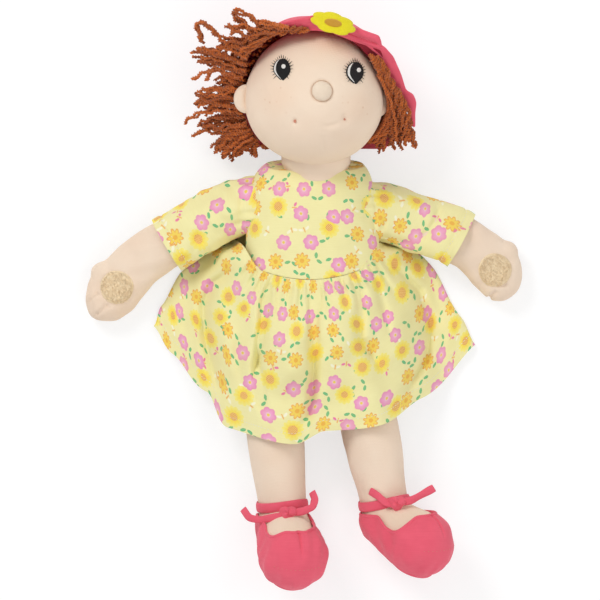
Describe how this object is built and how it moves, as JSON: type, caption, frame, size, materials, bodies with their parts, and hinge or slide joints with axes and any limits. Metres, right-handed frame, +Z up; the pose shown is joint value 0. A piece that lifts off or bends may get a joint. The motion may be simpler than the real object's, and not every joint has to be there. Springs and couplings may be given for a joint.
{
  "type": "rag doll",
  "caption": "Soft stuffed rag doll with yarn hair, a flowered summer dress, a felt hat and tied shoes, lying on its back.",
  "frame": {"origin": "on the surface the doll lies on, under the middle of its chest", "axes": "+Z up out of the face, +Y towards the top of the head, +X towards the doll's own left hand"},
  "size_m": [0.3271, 0.4356, 0.1111],
  "materials": {
    "skin": "knitted, matt",
    "dress": "printed jersey, matt",
    "red": "woven, matt",
    "yarn": "chenille yarn",
    "black": "satin-stitched thread",
    "white": "satin-stitched thread",
    "blush": "thread",
    "hook": "loop pile",
    "felt": "felt",
    "heart": "felt"
  },
  "bodies": {
    "body": {"torso": "skin", "bodice": "dress", "closure_strip": "white", "skirt_front": "dress", "skirt_back": "dress", "sleeve_left": "dress", "sleeve_right": "dress"},
    "neck": {"neck": "skin"},
    "head": {"head": "skin", "nose": "skin", "ear_left": "skin", "ear_right": "skin", "eye_left": "black", "eye_right": "black", "eye_white_left": "white", "eye_white_right": "white", "eye_glint_left": "white", "eye_glint_right": "white", "mouth_stitch_left": "blush", "mouth_stitch_right": "blush", "hair_back": "yarn", "hair_left": "yarn", "hair_right": "yarn", "hair_fringe": "yarn"},
    "hat": {"hat_crown": "red", "hat_brim_left": "red", "hat_brim_right": "red", "hat_flower": "felt", "hat_flower_heart": "heart"},
    "arm_left": {"arm_left": "skin", "palm_patch_left": "hook"},
    "arm_right": {"arm_right": "skin", "palm_patch_right": "hook"},
    "leg_left": {"leg_left": "skin", "shoe_left": "red", "sole_left": "red", "ankle_strap_left": "red", "ankle_knot_left": "red", "tie_outer_left": "red", "tie_inner_left": "red"},
    "leg_right": {"leg_right": "skin", "shoe_right": "red", "sole_right": "red", "ankle_strap_right": "red", "ankle_knot_right": "red", "tie_outer_right": "red", "tie_inner_right": "red"}
  },
  "joints": [
    {"name": "neck_turn", "type": "hinge", "parent": "body", "child": "neck", "pos_m": [0.0045, 0.06, 0.036], "axis": [0, 1, 0], "range_deg": [-60, 60]},
    {"name": "neck_nod", "type": "hinge", "parent": "neck", "child": "head", "pos_m": [0.0045, 0.076, 0.036], "axis": [1, 0, 0], "range_deg": [-10, 8]},
    {"name": "hat_off", "type": "slide", "parent": "head", "child": "hat", "axis": [0, 1, 0], "range_m": [0, 0.12]},
    {"name": "shoulder_left", "type": "hinge", "parent": "body", "child": "arm_left", "pos_m": [0.0585, 0.028, 0.022], "axis": [0, -1, 0], "range_deg": [-20, 70], "deforming": ["sleeve_left"]},
    {"name": "shoulder_right", "type": "hinge", "parent": "body", "child": "arm_right", "pos_m": [-0.056, 0.031, 0.022], "axis": [0, 1, 0], "range_deg": [-20, 70], "deforming": ["sleeve_right"]},
    {"name": "hip_left", "type": "hinge", "parent": "body", "child": "leg_left", "pos_m": [0.039, -0.101, 0.025], "axis": [-1, 0, 0], "range_deg": [-20, 90], "deforming": ["skirt_front", "skirt_back"]},
    {"name": "hip_right", "type": "hinge", "parent": "body", "child": "leg_right", "pos_m": [-0.0285, -0.101, 0.025], "axis": [-1, 0, 0], "range_deg": [-20, 90], "deforming": ["skirt_front", "skirt_back"]}
  ]
}
